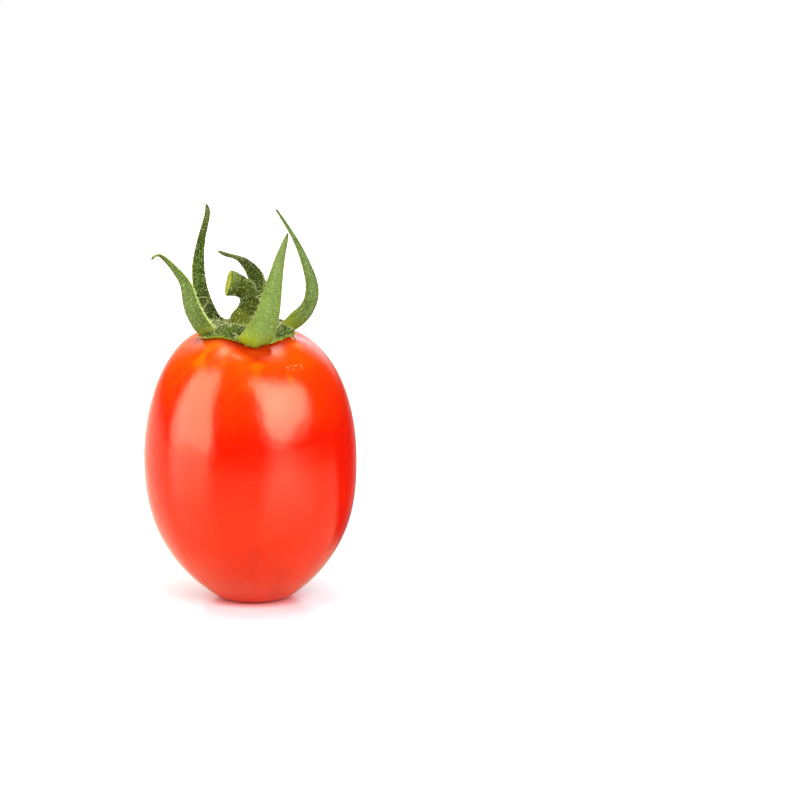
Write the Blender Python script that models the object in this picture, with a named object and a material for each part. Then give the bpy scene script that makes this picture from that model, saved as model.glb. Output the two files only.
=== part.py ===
"""A mini plum tomato standing on its blossom end, with its five sepals and the cut stub of its stalk.

Frame: metres, +Z up. The origin is the centre of the flat patch that the fruit stands on. The
sepals are named for where they grow, seen from the front (-Y). Every size is a named value in
millimetres, turned into metres by MM.
"""

from math import acos, atan2, cos, degrees, hypot, pi, radians, sin, sqrt

import bmesh
import bpy
from mathutils import Vector

MM = 0.001

# Fruit
FRUIT_RADIUS = 15.0  # at the widest ring
FRUIT_HEIGHT = 37.7  # from the resting patch to the crest of the shoulder
WIDEST_HEIGHT = 20.0  # of the widest ring
PATCH_RADIUS = 4.2  # flat blossom end that the fruit stands on
SHOULDER_RADIUS = 5.2  # of the crest that runs round the dimple
DIMPLE_DEPTH = 1.3  # of the hollow that the stalk grows from
LEAN = 0.45  # how far the widest ring stands to the left of the foot
DIMPLE_SHIFT = 0.75  # how much further left the dimple is
DIMPLE_SHIFT_FADE = 4  # how steeply that fades out over the shoulder
RIB_COUNT = 5  # soft ribs on the shoulder, one between each pair of sepals
RIB_HEIGHT = 0.3
SOLVER_STEPS = 8  # rounds that find the ring of the fruit under a point
FRUIT_SEGMENTS = 60
FOOT_RINGS = 1  # rings of faces across the patch
SIDE_RINGS = 14  # from there to the widest ring
SHOULDER_RINGS = 11  # from there to the shoulder's crest
DIMPLE_RINGS = 4  # from there to the middle of the dimple

# Stalk and its swollen end, which the sepals grow from
STALK_RADIUS = 1.55
RECEPTACLE_RADIUS = 2.9
RECEPTACLE_FOOT = 0.62  # its radius where it sits in the dimple, as a share of its widest
RECEPTACLE_SPINE = [(-0.1, 1.0), (0.6, 0.82)]  # height above the crest, and radius as the same share
STALK_SIDES = 6  # Blender's bevel resolution: 16 sides

# Sepals
GAP = 0.3  # left between pieces that touch
SEPAL_ROOT_WIDTH = 4.0
SEPAL_THICKNESS = 0.4  # at the midrib, as a share of the half width
SEPAL_CUP = 0.22  # how far the margins rise above the midrib, as a share of the half width
SEPAL_SIDES = 14  # points round a sepal's section
ACROSS = (-1.0, -0.5, 0.0, 0.5, 1.0)  # places across a sepal where its clearance is kept, in half widths
HUG_ROWS = 3  # rows that lay a sepal on the fruit between the receptacle and its own spine
FRONT_AZIMUTH = 285.0  # of sepal_front, in degrees from +X towards +Y

# Rows of reach from the dimple's middle, sideways offset, height above the shoulder's crest and
# half width, from where the sepal leaves the fruit to its tip. Twist turns the blade at its middle.
SEPALS = {
    "sepal_front": {
        "twist": 0.0,
        "spine": [
            (8.3, 0.4, -0.1, 2.1),
            (9.7, 1.1, 2.1, 1.85),
            (9.6, 1.9, 5.0, 1.45),
            (9.2, 2.6, 8.0, 1.05),
            (8.2, 3.6, 11.2, 0.6),
            (7.0, 4.9, 14.3, 0.15),
        ],
    },
    "sepal_right": {
        "twist": -38.0,
        "spine": [
            (6.6, -0.4, 0.9, 1.9),
            (9.0, -0.7, 2.6, 1.45),
            (9.9, -0.6, 6.0, 1.25),
            (9.0, -0.2, 9.5, 0.75),
            (7.2, 0.4, 13.2, 0.55),
            (4.5, 1.0, 17.1, 0.15),
        ],
    },
    "sepal_back": {
        "twist": 0.0,
        "spine": [
            (6.2, 0.8, 1.3, 1.9),
            (7.5, 1.1, 4.0, 1.65),
            (7.4, 1.4, 7.2, 1.25),
            (5.9, 2.6, 9.5, 0.8),
            (4.1, 4.0, 10.3, 0.5),
            (2.8, 5.2, 10.9, 0.15),
        ],
    },
    "sepal_back_left": {
        "twist": -10.0,
        "spine": [
            (6.2, 0.0, 1.5, 1.8),
            (8.0, 0.0, 4.6, 1.35),
            (8.8, 0.1, 8.6, 1.05),
            (8.1, 0.1, 12.4, 0.7),
            (6.8, 0.1, 16.2, 0.4),
            (6.7, 0.3, 17.9, 0.15),
        ],
    },
    "sepal_left": {
        "twist": 30.0,
        "spine": [
            (6.9, 0.4, 1.0, 1.7),
            (8.6, 0.5, 3.8, 1.05),
            (9.3, 0.2, 7.2, 0.65),
            (10.9, -0.3, 9.6, 0.45),
            (12.7, -0.7, 11.3, 0.35),
            (13.8, -0.8, 10.7, 0.15),
        ],
    },
}

# Rows of place right of and behind the dimple's middle, height above the shoulder's crest, and
# radius as a share of STALK_RADIUS, from the receptacle to the cut end.
STALK_SPINE = [
    (-0.1, 0.0, 1.7, 1.12),
    (0.65, 0.1, 3.3, 0.93),
    (0.85, 0.2, 4.6, 0.9),
    (0.3, 0.2, 5.8, 0.9),
    (-0.75, 0.0, 6.5, 1.02),
    (-2.1, -0.45, 6.9, 1.15),
]

COLOURS = {
    "tomato_skin": ((0.80, 0.035, 0.004), 0.22),
    "sepal_green": ((0.12, 0.22, 0.035), 0.6),
    "stalk_green": ((0.10, 0.17, 0.025), 0.65),
}


def clear_scene():
    """Empty the file of objects, and give the part a collection of its own."""
    for obj in list(bpy.data.objects):
        bpy.data.objects.remove(obj)
    collection = bpy.data.collections.new("plum_tomato")
    bpy.context.scene.collection.children.link(collection)
    return collection


def material(name):
    colour, roughness = COLOURS[name]
    made = bpy.data.materials.new(name)
    made.use_nodes = True
    shader = made.node_tree.nodes["Principled BSDF"]
    shader.inputs["Base Color"].default_value = (*colour, 1.0)
    shader.inputs["Roughness"].default_value = roughness
    return made


def side_middle(height):
    """Place along X of the middle of a ring below the widest one."""
    return -LEAN * sin(pi / 2 * height / WIDEST_HEIGHT)


def top_middle(radius):
    """Place along X of the middle of a ring above the widest one."""
    return -LEAN - DIMPLE_SHIFT * (1 - (radius / FRUIT_RADIUS) ** 2) ** DIMPLE_SHIFT_FADE


def rib_at(azimuth, share):
    """Height of the ribs, which fade out from the shoulder, where share is 1, to 0."""
    turn = radians(azimuth - FRONT_AZIMUTH) * RIB_COUNT
    return -RIB_HEIGHT * share * cos(turn)


def top_height(radius, azimuth):
    """Height of a point of the fruit's upper surface, on the ring with this radius."""
    if radius < SHOULDER_RADIUS:
        inward = radius / SHOULDER_RADIUS
        hollow = DIMPLE_DEPTH * (1 - inward**2) ** 2
        return FRUIT_HEIGHT - hollow + rib_at(azimuth, inward**2)
    outward = (radius - SHOULDER_RADIUS) / (FRUIT_RADIUS - SHOULDER_RADIUS)
    rise = sqrt(max(0.0, 1 - outward**2))
    return WIDEST_HEIGHT + (FRUIT_HEIGHT - WIDEST_HEIGHT) * rise + rib_at(azimuth, rise**3)


def height_over(x, y):
    """Height of the fruit's upper surface above a point of the plane that the fruit stands on."""
    radius = hypot(x - top_middle(0.0), y)
    for _ in range(SOLVER_STEPS):
        radius = min(FRUIT_RADIUS, hypot(x - top_middle(radius), y))
    return top_height(radius, degrees(atan2(y, x - top_middle(radius))))


def fruit_ring(number):
    """Radius and height of one ring of the fruit, counted from the middle of its foot.

    The side is an ellipse cut off where it is as wide as the patch. Above the widest ring the height
    is None, because top_height gives it.
    """
    if number <= FOOT_RINGS:
        return PATCH_RADIUS * number / FOOT_RINGS, 0.0
    number -= FOOT_RINGS
    if number <= SIDE_RINGS:
        lowest = acos(PATCH_RADIUS / FRUIT_RADIUS)
        angle = lowest * (1 - number / SIDE_RINGS)
        return FRUIT_RADIUS * cos(angle), WIDEST_HEIGHT * (1 - sin(angle) / sin(lowest))
    number -= SIDE_RINGS
    if number <= SHOULDER_RINGS:
        angle = pi / 2 * number / SHOULDER_RINGS
        return SHOULDER_RADIUS + (FRUIT_RADIUS - SHOULDER_RADIUS) * cos(angle), None
    number -= SHOULDER_RINGS
    return SHOULDER_RADIUS * (1 - number / DIMPLE_RINGS), None


def make_fruit(collection):
    """A UV sphere whose rings are laid along the fruit's outline."""
    rings = FOOT_RINGS + SIDE_RINGS + SHOULDER_RINGS + DIMPLE_RINGS
    shape = bmesh.new()
    bmesh.ops.create_uvsphere(shape, u_segments=FRUIT_SEGMENTS, v_segments=rings, radius=1)
    for vertex in shape.verts:
        x, y, z = vertex.co
        azimuth = degrees(atan2(y, x))
        radius, height = fruit_ring(round((atan2(z, hypot(x, y)) / pi + 0.5) * rings))
        if height is None:
            middle = top_middle(radius)
            height = top_height(radius, azimuth)
        else:
            middle = side_middle(height)
        turn = radians(azimuth)
        vertex.co = Vector((middle + radius * cos(turn), radius * sin(turn), height)) * MM
    mesh = bpy.data.meshes.new("fruit")
    shape.to_mesh(mesh)
    shape.free()
    mesh.shade_smooth()
    mesh.materials.append(material("tomato_skin"))
    collection.objects.link(bpy.data.objects.new("fruit", mesh))


def smooth_curve(name, points, collection):
    """A Bezier curve through rows of x, y, z, radius and tilt, with handles set by Blender."""
    curve = bpy.data.curves.new(name, "CURVE")
    curve.dimensions = "3D"
    curve.resolution_u = 4
    curve.use_fill_caps = True
    spline = curve.splines.new("BEZIER")
    spline.bezier_points.add(len(points) - 1)
    for point, (x, y, z, radius, tilt) in zip(spline.bezier_points, points):
        point.co = Vector((x, y, z)) * MM
        point.radius = radius
        point.tilt = tilt
        point.handle_left_type = point.handle_right_type = "AUTO"
    obj = bpy.data.objects.new(name, curve)
    collection.objects.link(obj)
    return obj


def make_stalk(collection):
    """The stub of the stalk, which swells into the receptacle where it sits in the dimple."""
    middle = top_middle(0.0)
    swelling = RECEPTACLE_RADIUS / STALK_RADIUS
    seat = top_height(0, 0) + 2 * GAP
    points = [(middle, 0.0, seat, RECEPTACLE_FOOT * swelling, 0.0)]
    for up, share in RECEPTACLE_SPINE:
        points.append((middle, 0.0, FRUIT_HEIGHT + up, share * swelling, 0.0))
    for right, back, up, share in STALK_SPINE:
        points.append((middle + right, back, FRUIT_HEIGHT + up, share, 0.0))
    stalk = smooth_curve("stalk", points, collection)
    stalk.data.bevel_depth = STALK_RADIUS * MM
    stalk.data.bevel_resolution = STALK_SIDES
    stalk.data.materials.append(material("stalk_green"))


def sepal_section(collection):
    """A lens bent into a shallow gutter, one unit in half width, that the sepals are swept from."""
    curve = bpy.data.curves.new("sepal_section", "CURVE")
    curve.dimensions = "2D"
    spline = curve.splines.new("POLY")
    spline.points.add(SEPAL_SIDES - 1)
    spline.use_cyclic_u = True
    for number, point in enumerate(spline.points):
        angle = -2 * pi * number / SEPAL_SIDES
        across = cos(angle)
        point.co = (across, SEPAL_THICKNESS / 2 * sin(angle) + SEPAL_CUP * across**2, 0.0, 1.0)
    section = bpy.data.objects.new("sepal_section", curve)
    section.hide_render = True
    section.display_type = "WIRE"
    collection.objects.link(section)
    return section


def place_beside(reach, side, azimuth):
    """X and Y of a point out from the dimple's middle, and to one side, along a sepal's azimuth."""
    turn = radians(azimuth)
    x = top_middle(0.0) + reach * cos(turn) - side * sin(turn)
    return x, reach * sin(turn) + side * cos(turn)


def seat_height(reach, side, azimuth, half_width):
    """Height of a sepal's middle that keeps its whole section clear of the fruit by GAP."""
    heights = []
    for across in ACROSS:
        x, y = place_beside(reach, side + across * half_width, azimuth)
        underside = SEPAL_CUP * across**2 - SEPAL_THICKNESS / 2 * sqrt(1 - across**2)
        heights.append(height_over(x, y) + GAP - underside * half_width)
    return max(heights)


def make_sepal(name, azimuth, twist, spine, section, green, collection):
    """One sepal: it leaves the receptacle, lies on the shoulder, then curls up along its spine."""
    root = RECEPTACLE_RADIUS + GAP
    rows = []
    for number in range(HUG_ROWS):
        share = number / HUG_ROWS
        reach = root + (spine[0][0] - root) * share
        rows.append((reach, spine[0][1] * share, -DIMPLE_DEPTH, SEPAL_ROOT_WIDTH / 2))
    rows += spine
    points = []
    for number, (reach, side, rise, half_width) in enumerate(rows):
        x, y = place_beside(reach, side, azimuth)
        height = max(FRUIT_HEIGHT + rise, seat_height(reach, side, azimuth, half_width))
        free = max(0, number - HUG_ROWS) / (len(spine) - 1)
        points.append((x, y, height, half_width * MM, radians(twist) * sin(pi * free)))
    sepal = smooth_curve(name, points, collection)
    sepal.data.bevel_mode = "OBJECT"
    sepal.data.bevel_object = section
    sepal.data.materials.append(green)


def main():
    collection = clear_scene()
    guides = bpy.data.collections.new("guides")
    bpy.context.scene.collection.children.link(guides)
    make_fruit(collection)
    make_stalk(collection)
    section = sepal_section(guides)
    green = material("sepal_green")
    for number, (name, sepal) in enumerate(SEPALS.items()):
        azimuth = FRONT_AZIMUTH + number * 360 / len(SEPALS)
        make_sepal(name, azimuth, sepal["twist"], sepal["spine"], section, green, collection)


main()
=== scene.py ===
"""The looks of a mini plum tomato: ripe glossy skin, downy sepals and the hairy stub of its stalk.

Lengths are in millimetres, turned into metres by MM, and angles are in degrees. The fruit stands at
the origin on its blossom end, +Z up, with its front towards -Y. A share is a part of a whole, from 0 to 1.
"""

from math import acos, atan2, cos, degrees, exp, hypot, pi, radians, sin, sqrt

import bmesh
import bpy
from mathutils import Matrix, Vector, noise


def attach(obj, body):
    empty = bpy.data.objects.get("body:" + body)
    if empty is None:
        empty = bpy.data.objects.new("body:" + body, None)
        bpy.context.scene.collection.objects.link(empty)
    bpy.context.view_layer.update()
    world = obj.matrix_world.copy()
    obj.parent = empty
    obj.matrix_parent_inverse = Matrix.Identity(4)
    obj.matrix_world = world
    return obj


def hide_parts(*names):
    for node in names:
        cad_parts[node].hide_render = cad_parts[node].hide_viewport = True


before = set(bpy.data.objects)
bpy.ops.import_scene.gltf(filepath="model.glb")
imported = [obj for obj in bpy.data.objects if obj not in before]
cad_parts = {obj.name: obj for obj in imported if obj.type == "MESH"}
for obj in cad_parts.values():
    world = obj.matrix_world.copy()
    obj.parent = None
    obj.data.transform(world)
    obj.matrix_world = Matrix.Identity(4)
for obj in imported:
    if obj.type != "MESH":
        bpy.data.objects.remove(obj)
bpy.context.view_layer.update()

MM = 0.001

# ------------------------------------------------------------------ sizes, as the solids have them

FRUIT_RADIUS = 15.0
FRUIT_HEIGHT = 37.7
WIDEST_HEIGHT = 20.0
PATCH_RADIUS = 4.2
SHOULDER_RADIUS = 5.2
DIMPLE_DEPTH = 1.3
LEAN = 0.45
DIMPLE_SHIFT = 0.75
DIMPLE_SHIFT_FADE = 4
RIB_COUNT = 5
RIB_HEIGHT = 0.3
SOLVER_STEPS = 8
STALK_RADIUS = 1.55
FRONT_AZIMUTH = 285.0

# ------------------------------------------------------------------ sizes that only the looks have

FRUIT_SEGMENTS = 240
FOOT_RINGS = 12
SIDE_RINGS = 84
SHOULDER_RINGS = 60
DIMPLE_RINGS = 22
FOOT_SPREAD = 0.36  # how much the soft fruit spreads where it stands
FOOT_SPREAD_HEIGHT = 1.2
FOOT_SOFTNESS = 0.12  # how far the edge of the foot is rounded off
SCAR_DEPTH = 0.3  # of the pit that the blossom left
SCAR_RADIUS = 0.5
BELLY = 0.3  # how much fuller the lower half is than the solid, inside its box
UNEVENNESS = 0.08  # depth of the slow swells of the flesh
UNEVEN_SCALE = 0.09  # swells in a millimetre
UNEVEN_START = Vector((3.1, 1.7, 0.0))
WAVE_DEPTH = 0.05  # of the long furrows between the seed chambers
WAVE_COUNT = 3
WAVE_TURN = 0.9  # in radians, where the first furrow lies
WAVE_BEND = 0.35  # how unevenly the furrows are spread
FINE_STEPS = 8  # steps that a path is measured in, for each one that it ends with

SEPAL_ROWS = 84
SEPAL_POINTS = 30
TIP_ROWS = 5  # over which a sepal's tip is rounded off
ROOT_REACHES = (1.9, 3.3, 4.9)  # places out from the stalk where a sepal lies on the shoulder
ROOT_HALF_WIDTHS = (1.9, 2.75, 2.55)
ROOT_LIFT = 0.1
FREE_AT_BEND = 0.35  # how much of its full cup a sepal has where it leaves the shoulder
TWIST_START = 0.15  # a twist grows and fades like half a wave, which is entered at this share of it
SINK = 0.22  # how far the sepals are pressed down to close the gap under them
THICKNESS = 0.36  # of a sepal at its midrib, as a share of its half width
LEAST_THICKNESS = 0.34  # in millimetres
MOST_THICKNESS = 1.5  # as a share of the half width, near the tip
MARGIN_THINNING = 0.25
CUP = 0.26  # how far the margins rise towards the inner side, as a share of the half width
KEEL = 0.34  # how much further they rise where the sepal turns upwards
KEEL_PLACE = 0.27
KEEL_SPREAD = 0.11
MIDRIB = 0.1  # how far the midrib stands out at the back, as the same share
MIDRIB_SPREAD = 0.16
INNER_MIDRIB = 0.7  # how deep its groove is on the inner side, as a share of the rib
RUFFLE = 0.07  # waves of the margins, as the same share
RUFFLE_WAVES = 13.0
RUFFLE_WAVES_ACROSS = 1.5
TIP_HALF_WIDTH = 0.03
TIP_POINT = 0.15  # how far the last point is beyond the last ring

# Each sepal's twist, how pale its back is, how bright its forward margin is, and the rows of its spine:
# reach from the dimple's middle, place beside that line, height above the crest and half width.
SEPALS = {
    "sepal_front": {
        "twist": 0.0,
        "pale": 1.0,
        "rimmed": 0.2,
        "spine": [
            (8.7, -0.2, -0.75, 2.35),
            (9.75, 0.95, 1.9, 1.85),
            (9.6, 1.9, 5.0, 1.45),
            (9.2, 2.6, 8.0, 1.05),
            (8.2, 3.6, 11.2, 0.62),
            (7.0, 4.9, 14.3, 0.2),
        ],
    },
    "sepal_right": {
        "twist": -38.0,
        "pale": 0.12,
        "rimmed": 0.1,
        "spine": [
            (6.6, -0.4, 0.9, 2.2),
            (9.0, -0.7, 2.6, 1.75),
            (9.9, -0.6, 6.0, 1.3),
            (9.0, -0.2, 9.5, 0.95),
            (7.2, 0.4, 13.2, 0.6),
            (4.5, 1.0, 17.1, 0.3),
        ],
    },
    "sepal_back": {
        "twist": 0.0,
        "pale": 0.5,
        "rimmed": 0.1,
        "spine": [
            (6.2, 0.8, 1.3, 1.9),
            (7.5, 1.1, 4.0, 1.65),
            (7.4, 1.4, 7.2, 1.3),
            (5.9, 2.6, 9.5, 0.95),
            (4.1, 4.0, 10.3, 0.7),
            (2.8, 5.2, 10.9, 0.3),
        ],
    },
    "sepal_back_left": {
        "twist": -10.0,
        "pale": 0.5,
        "rimmed": 0.1,
        "spine": [
            (6.9, -0.1, 1.5, 1.6),
            (8.35, 0.0, 4.6, 1.3),
            (8.8, 0.1, 8.6, 1.05),
            (8.1, 0.1, 12.4, 0.72),
            (6.8, 0.1, 16.1, 0.5),
            (6.7, 0.3, 17.65, 0.3),
        ],
    },
    "sepal_left": {
        "twist": 30.0,
        "pale": 0.2,
        "rimmed": 1.0,
        "spine": [
            (6.9, 0.3, 0.9, 2.15),
            (8.5, 0.5, 3.8, 1.5),
            (9.3, 0.2, 7.2, 0.95),
            (10.9, -0.3, 9.6, 0.65),
            (12.7, -0.7, 11.3, 0.42),
            (13.8, -0.8, 10.7, 0.28),
        ],
    },
}

COLLAR_RADIUS = 6.1  # where its edge is thin
COLLAR_FORWARD = 1.9  # how much further it goes out at its heaviest place
COLLAR_SHARPNESS = 4.0  # how narrow that place is
HEAVY_AZIMUTH = 300.0
COLLAR_SEGMENTS = 160
COLLAR_GRAIN = 1.3
COLLAR_ROUGHNESS = 0.12
COLLAR_RIM = 0.31  # height of its yellow rim
COLLAR_RIM_GRAIN = 2.2  # how much finer the rim's ragged edge is than the collar's grain
COLLAR_DARKNESS = 0.61  # how much of the sepals' inner face its top has
COLLAR_PALENESS = 0.5
COLLAR_ALONG = 0.16  # the place along a sepal whose colours it takes
# Place outwards as a share of its reach, and height above the fruit.
COLLAR_PROFILE = [
    (0.2, 0.6),
    (0.3, 1.85),
    (0.42, 1.72),
    (0.55, 1.55),
    (0.7, 1.42),
    (0.82, 1.32),
    (0.92, 1.2),
    (0.98, 1.04),
    (1.03, 0.8),
    (1.055, 0.5),
    (1.045, 0.22),
    (1.0, 0.04),
    (0.85, -0.02),
]

STALK_ROWS = 110
STALK_SEGMENTS = 48
STALK_WARTS = 0.07  # height of the rough bumps on the stalk
STALK_GRAIN = 1.6  # bumps in a millimetre
STALK_RIDGES = 5
STALK_RIDGE = 0.03  # height of a ridge, as a share of the radius
STALK_RIDGE_TURN = 0.4
# Place right of and behind the dimple's middle, height above the crest, and radius as a share.
STALK_SPINE = [
    (0.0, 0.0, -0.3, 2.2),
    (0.0, 0.0, 0.5, 2.15),
    (-0.1, 0.0, 1.15, 1.65),
    (-0.1, 0.0, 1.9, 1.14),
    (0.55, 0.1, 3.1, 0.96),
    (0.85, 0.2, 4.5, 0.9),
    (0.4, 0.2, 5.6, 0.88),
    (-0.5, 0.1, 6.35, 0.97),
    (-1.3, -0.05, 6.7, 1.08),
    (-2.1, -0.25, 6.9, 1.15),
]
CUT_RINGS = 14
CUT_MARK = 0.05  # least of the mark that tells the cut end from the bark
CUT_HOLLOW = 0.22  # how far the middle of the cut end has shrunk back
CUT_BEAD = 0.06  # height of the bead of firm tissue in it
CUT_BEAD_PLACE = 0.62  # as a share of the radius
CUT_BEAD_SPREAD = 0.1

HAIR_POINTS = 5
HAIR_SIDES = 3
HAIR_TAPER = 0.8  # how much thinner a hair is at its tip
HAIR_LENGTHS = (0.45, 1.1)  # least and most, as a share of the length asked for
# Hairs to a square metre, length and radius in metres, bend as a share of the length, lean in radians.
DOWN = {"Density": 11.0e6, "Length": 0.38 * MM, "Radius": 0.015 * MM, "Curl": 0.35, "Lean": 0.5}
LONG_HAIR = {"Density": 1.1e6, "Length": 1.7 * MM, "Radius": 0.038 * MM, "Curl": 0.5, "Lean": 0.8}
BRIGHT_MARGIN_HAIRS = 4.0  # how much denser the long hairs are on a margin that is wholly bright

SCRATCH_RIGHT = 6.2  # place and spread of the scratches on the shoulder
SCRATCH_HEIGHT = 34.0
SCRATCH_WIDTH = 1.4
SCRATCH_TALLNESS = 0.45

# ------------------------------------------------------------------ the studio's sizes and lights

LENS = 100.0
SENSOR = 36.0
NEAREST_SEEN = 0.01  # in metres
LOOK_DOWN = 9.0  # in degrees
CAMERA_DISTANCE = 311.5
CAMERA_TARGET = (20.57, 0.0, 28.1)
TABLE_RADIUS = 3.0  # in metres
TABLE_DROP = 0.02  # keeps the foot clear of the table
LEFT_GLOW = 7.2
RIGHT_GLOW = 8.0
RIGHT_CORE_GLOW = 3.5  # what the middle of the right window has more
BEHIND_GLOW = 1.2
BESIDE_GLOW = 0.7
AIR_GLOW = 0.03
# Lamps overhead: how far right of and behind the zenith, heading, length, width and strength.
LAMPS = [
    (-0.32, 0.06, 80.0, 0.19, 0.14, 7.5),
    (-0.085, -0.13, 145.0, 0.08, 0.06, 6.0),
    (0.22, 0.19, 125.0, 0.2, 0.09, 8.0),
]
TABLE_GLOW = 0.32  # of the table close to the fruit
FAR_GLOW = 0.6  # what it has more farther off
BOUNCED_GLOW = 0.3  # of the table behind on the left, as the fruit is lit by it


# ------------------------------------------------------------------ the fruit's surface


def side_middle(height):
    return -LEAN * sin(pi / 2 * height / WIDEST_HEIGHT)


def top_middle(radius):
    return -LEAN - DIMPLE_SHIFT * (1 - (radius / FRUIT_RADIUS) ** 2) ** DIMPLE_SHIFT_FADE


def top_height(radius, azimuth):
    """Height of a point of the fruit's upper surface, on the ring with this radius."""
    rib = -RIB_HEIGHT * cos(radians(azimuth - FRONT_AZIMUTH) * RIB_COUNT)
    if radius < SHOULDER_RADIUS:
        inward = radius / SHOULDER_RADIUS
        return FRUIT_HEIGHT - DIMPLE_DEPTH * (1 - inward**2) ** 2 + rib * inward**2
    outward = (radius - SHOULDER_RADIUS) / (FRUIT_RADIUS - SHOULDER_RADIUS)
    rise = sqrt(max(0.0, 1 - outward**2))
    return WIDEST_HEIGHT + (FRUIT_HEIGHT - WIDEST_HEIGHT) * rise + rib * rise**3


def height_over(x, y):
    """Height of the fruit's upper surface above a point of the floor."""
    radius = hypot(x - top_middle(0.0), y)
    for _ in range(SOLVER_STEPS):
        radius = min(FRUIT_RADIUS, hypot(x - top_middle(radius), y))
    return top_height(radius, degrees(atan2(y, x - top_middle(radius))))


def fruit_rings():
    """Radius and height of each ring from the foot up; the height is None above the widest."""
    rings = [(PATCH_RADIUS * number / FOOT_RINGS, 0.0) for number in range(FOOT_RINGS)]
    lowest = acos(PATCH_RADIUS / FRUIT_RADIUS)
    for number in range(SIDE_RINGS + 1):
        angle = lowest * (1 - number / SIDE_RINGS)
        rings.append((FRUIT_RADIUS * cos(angle), WIDEST_HEIGHT * (1 - sin(angle) / sin(lowest))))
    for number in range(1, SHOULDER_RINGS + 1):
        angle = pi / 2 * number / SHOULDER_RINGS
        rings.append((SHOULDER_RADIUS + (FRUIT_RADIUS - SHOULDER_RADIUS) * cos(angle), None))
    for number in range(1, DIMPLE_RINGS + 1):
        rings.append((SHOULDER_RADIUS * (1 - number / DIMPLE_RINGS), None))
    return rings


def foot_height(radius, height):
    """Height near the foot, with its edge rounded and the blossom's pit in its middle."""
    if radius > 2 * PATCH_RADIUS:
        return height
    slope = WIDEST_HEIGHT / sqrt(FRUIT_RADIUS**2 - PATCH_RADIUS**2)
    over = height
    if height <= 0:
        over = slope * (sqrt(FRUIT_RADIUS**2 - PATCH_RADIUS**2) - sqrt(FRUIT_RADIUS**2 - radius**2))
    soft = (over + hypot(over, FOOT_SOFTNESS)) / 2
    return soft + SCAR_DEPTH * exp(-((radius / SCAR_RADIUS) ** 2))


def fruit_point(radius, height, turn):
    """A point of the skin on one ring, in millimetres."""
    if height is None:
        middle = top_middle(radius)
        height = top_height(radius, degrees(turn))
    else:
        middle = side_middle(height)
        height = foot_height(radius, height)
    side = sin(pi * min(1.0, max(0.0, height / FRUIT_HEIGHT))) ** 0.5
    place = Vector((radius * cos(turn), radius * sin(turn), height)) * UNEVEN_SCALE
    swell = UNEVENNESS * (0.5 + noise.noise(place + UNEVEN_START))
    furrow = WAVE_DEPTH * (0.5 - 0.5 * cos(WAVE_COUNT * turn + WAVE_TURN + WAVE_BEND * sin(turn)))
    spread = FOOT_SPREAD * exp(-((height / FOOT_SPREAD_HEIGHT) ** 2))
    full = BELLY * sin(pi * min(1.0, height / WIDEST_HEIGHT)) ** 2
    full += spread * FRUIT_RADIUS / max(radius, PATCH_RADIUS)
    inward = 1 + (full - side * (swell + furrow)) / FRUIT_RADIUS
    x = middle + radius * cos(turn) * inward
    y = radius * sin(turn) * inward
    return Vector((x, y, height)) * MM


def sheet_of_rings(name, rings, first_pole=None, last_pole=None):
    """A closed mesh through rings of points, all with the same count, shut by a point at each end."""
    mesh = bpy.data.meshes.new(name)
    count = len(rings[0])
    points = [point for ring in rings for point in ring]
    faces = []
    for row in range(len(rings) - 1):
        for number in range(count):
            a = row * count + number
            b = row * count + (number + 1) % count
            faces.append((a, b, b + count, a + count))
    for pole, row in ((first_pole, 0), (last_pole, len(rings) - 1)):
        if pole is None:
            continue
        tip = len(points)
        points.append(pole)
        for number in range(count):
            a = row * count + number
            b = row * count + (number + 1) % count
            faces.append((b, a, tip) if row == 0 else (a, b, tip))
    mesh.from_pydata(points, [], faces)
    shape = bmesh.new()
    shape.from_mesh(mesh)
    bmesh.ops.recalc_face_normals(shape, faces=shape.faces)
    shape.to_mesh(mesh)
    shape.free()
    mesh.shade_smooth()
    made = bpy.data.objects.new(name, mesh)
    bpy.context.scene.collection.objects.link(made)
    return made


def mark(piece, name, values):
    """Store one number at each point of a piece, for its material and its hairs."""
    piece.data.attributes.new(name, "FLOAT", "POINT").data.foreach_set("value", values)


def make_fruit():
    rings = fruit_rings()
    turns = [2 * pi * number / FRUIT_SEGMENTS for number in range(FRUIT_SEGMENTS)]
    loops = []
    for radius, height in rings[1:-1]:
        loops.append([fruit_point(radius, height, turn) for turn in turns])
    foot = fruit_point(0.0, 0.0, 0.0)
    top = fruit_point(0.0, None, 0.0)
    return sheet_of_rings("tomato_fruit", loops, foot, top)


# ------------------------------------------------------------------ paths


def smooth_through(rows, count):
    """Rows of numbers read at even steps from the smooth curve through the given rows."""
    made = []
    last = len(rows) - 1
    for number in range(count):
        place = last * number / (count - 1)
        step = min(int(place), last - 1)
        t = place - step
        before, start, end, after = (rows[max(0, min(last, step + k))] for k in (-1, 0, 1, 2))
        row = []
        for a, b, c, d in zip(before, start, end, after):
            bend = (2 * a - 5 * b + 4 * c - d) * t**2 + (3 * b - a - 3 * c + d) * t**3
            row.append((2 * b + (c - a) * t + bend) / 2)
        made.append(tuple(row))
    return made


def even_along(rows, count):
    """The same curve read at even steps of its length, which the first three numbers give."""
    fine = smooth_through(rows, count * FINE_STEPS)
    lengths = [0.0]
    for one, two in zip(fine, fine[1:]):
        lengths.append(lengths[-1] + (Vector(two[:3]) - Vector(one[:3])).length)
    made = []
    at = 0
    for number in range(count):
        target = lengths[-1] * number / (count - 1)
        while at < len(fine) - 2 and lengths[at + 1] < target:
            at += 1
        share = (target - lengths[at]) / max(1e-9, lengths[at + 1] - lengths[at])
        made.append(tuple(a + (b - a) * min(1.0, share) for a, b in zip(fine[at], fine[at + 1])))
    return made


def tangents(points):
    """The direction of a path at each of its points."""
    last = len(points) - 1
    return [(points[min(last, n + 1)] - points[max(0, n - 1)]).normalized() for n in range(last + 1)]


# ------------------------------------------------------------------ sepals


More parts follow.
